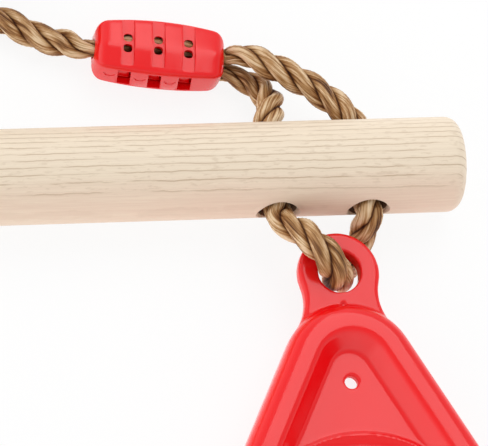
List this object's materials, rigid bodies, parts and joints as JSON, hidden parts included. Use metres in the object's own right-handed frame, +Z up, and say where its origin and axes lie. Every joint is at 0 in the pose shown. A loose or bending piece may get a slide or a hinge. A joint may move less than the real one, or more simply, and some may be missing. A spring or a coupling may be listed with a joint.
{
  "type": "trapeze bar",
  "caption": "Wooden trapeze bar with a triangular plastic gym ring under each end, hung on twisted ropes with two-part rope clamps and steel rings.",
  "frame": {"origin": "on the floor that the part lies on, under the middle of the bar, its gym rings and its lower clamps", "axes": "+X along the bar to the end that the picture shows, +Y from the gym rings towards the ropes, +Z up"},
  "size_m": [0.6296, 0.4202, 0.035],
  "materials": {
    "wood": "sanded, clear satin varnish",
    "rope": "three-strand twisted, hemp-coloured polypropylene",
    "red_plastic": "gloss moulded",
    "steel": "zinc plated, welded wire ring"
  },
  "bodies": {
    "bar": {"bar": "wood", "right_rope_outer_leg": "rope", "right_rope_inner_leg": "rope", "right_lower_clamp_cover": "red_plastic", "right_lower_clamp_base": "red_plastic", "right_rope_run": "rope", "right_rope_coil": "rope", "right_rope_end": "rope", "right_top_clamp_cover": "red_plastic", "right_top_clamp_base": "red_plastic", "right_rope_eye": "rope", "left_rope_outer_leg": "rope", "left_rope_inner_leg": "rope", "left_lower_clamp_cover": "red_plastic", "left_lower_clamp_base": "red_plastic", "left_rope_run": "rope", "left_rope_coil": "rope", "left_rope_end": "rope", "left_top_clamp_cover": "red_plastic", "left_top_clamp_base": "red_plastic", "left_rope_eye": "rope"},
    "right_loop": {"right_rope_ring_loop": "rope"},
    "right_gym_ring": {"right_gym_ring": "red_plastic"},
    "right_steel_ring": {"right_steel_ring": "steel"},
    "left_loop": {"left_rope_ring_loop": "rope"},
    "left_gym_ring": {"left_gym_ring": "red_plastic"},
    "left_steel_ring": {"left_steel_ring": "steel"}
  },
  "joints": [
    {"name": "right_loop_sway", "type": "hinge", "parent": "bar", "child": "right_loop", "pos_m": [0.237, 0.0475, 0.0175], "axis": [0, 0, 1], "range_deg": [-15, 15], "deforming": ["right_rope_ring_loop"]},
    {"name": "right_ring_swing", "type": "hinge", "parent": "right_loop", "child": "right_gym_ring", "pos_m": [0.24, 0.03469, 0.01614], "axis": [-1, 0, 0], "range_deg": [-85, 90], "deforming": ["right_rope_ring_loop"]},
    {"name": "right_steel_ring_swing", "type": "hinge", "parent": "bar", "child": "right_steel_ring", "pos_m": [0.26578, 0.24151, 0.0171], "axis": [-0.342, -0.9397, 0], "range_deg": [-75, 90]},
    {"name": "left_loop_sway", "type": "hinge", "parent": "bar", "child": "left_loop", "pos_m": [-0.237, 0.0475, 0.0175], "axis": [0, 0, 1], "range_deg": [-15, 15], "deforming": ["left_rope_ring_loop"]},
    {"name": "left_ring_swing", "type": "hinge", "parent": "left_loop", "child": "left_gym_ring", "pos_m": [-0.24, 0.03469, 0.01614], "axis": [-1, 0, 0], "range_deg": [-85, 90], "deforming": ["left_rope_ring_loop"]},
    {"name": "left_steel_ring_swing", "type": "hinge", "parent": "bar", "child": "left_steel_ring", "pos_m": [-0.26578, 0.24151, 0.0171], "axis": [-0.342, 0.9397, 0], "range_deg": [-75, 90]}
  ]
}
